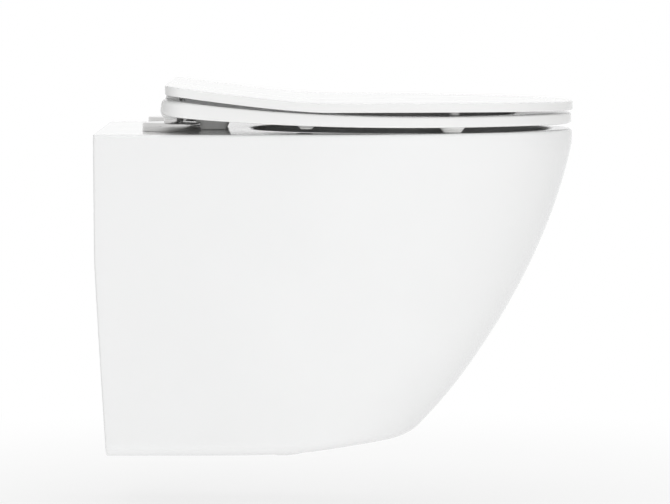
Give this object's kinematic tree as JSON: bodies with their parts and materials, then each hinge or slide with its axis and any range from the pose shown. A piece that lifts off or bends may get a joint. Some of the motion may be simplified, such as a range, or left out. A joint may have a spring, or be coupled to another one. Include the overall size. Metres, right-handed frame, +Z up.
{
  "type": "wall hung toilet",
  "caption": "Wall hung toilet: a glazed ceramic pan with a closed skirt, bowl and trap, with a hinged soft close seat and lid.",
  "frame": {"origin": "midway between the two wall studs, on the wall plane at the back of the pan", "axes": "+Y into the wall, -Y along the pan towards its front, +X across it to the right of someone standing at its front facing the wall, +Z up"},
  "size_m": [0.357, 0.4905, 0.3926],
  "materials": {
    "ceramic": "gloss white glaze",
    "seat_plastic": "gloss white thermoset",
    "buffer_rubber": "white, semi gloss",
    "cover_steel": "polished",
    "hardware_steel": "satin",
    "nylon": "natural white",
    "damper_plastic": "dark grey",
    "seal_rubber": "black"
  },
  "bodies": {
    "pan": {"pan_deck": "ceramic", "pan_skirt": "ceramic", "pan_back": "ceramic", "pan_bowl": "ceramic", "pan_trap": "ceramic", "pan_inlet": "ceramic", "inlet_seal": "seal_rubber", "stud_sleeve_left": "nylon", "stud_washer_left": "nylon", "stud_nut_left": "hardware_steel", "hinge_pad_left": "seal_rubber", "hinge_base_left": "hardware_steel", "hinge_cover_left": "cover_steel", "hinge_bolt_left": "hardware_steel", "hinge_block_left": "cover_steel", "hinge_pin_left": "hardware_steel", "hinge_sleeve_left": "seal_rubber", "wing_nut_left": "nylon", "stud_sleeve_right": "nylon", "stud_washer_right": "nylon", "stud_nut_right": "hardware_steel", "hinge_pad_right": "seal_rubber", "hinge_base_right": "hardware_steel", "hinge_cover_right": "cover_steel", "hinge_bolt_right": "hardware_steel", "hinge_block_right": "cover_steel", "hinge_pin_right": "hardware_steel", "hinge_sleeve_right": "seal_rubber", "wing_nut_right": "nylon"},
    "lid": {"lid": "seat_plastic", "lid_bush_left": "nylon", "lid_damper_right": "damper_plastic", "lid_buffer_left": "buffer_rubber", "lid_buffer_right": "buffer_rubber"},
    "seat": {"seat_ring": "seat_plastic", "seat_damper_left": "damper_plastic", "seat_bush_right": "nylon", "rear_buffer_left": "buffer_rubber", "middle_buffer_left": "buffer_rubber", "front_buffer_left": "buffer_rubber", "rear_buffer_right": "buffer_rubber", "middle_buffer_right": "buffer_rubber", "front_buffer_right": "buffer_rubber"}
  },
  "joints": [
    {"name": "lid_hinge", "type": "hinge", "parent": "pan", "child": "lid", "pos_m": [0, -0.075, 0.103], "axis": [-1, 0, 0], "range_deg": [0, 98]},
    {"name": "seat_hinge", "type": "hinge", "parent": "pan", "child": "seat", "pos_m": [0, -0.075, 0.103], "axis": [-1, 0, 0], "range_deg": [0, 95]}
  ],
  "couplings": [
    {"joint": "seat_hinge", "follows": "lid_hinge", "ratio": 0.96}
  ]
}
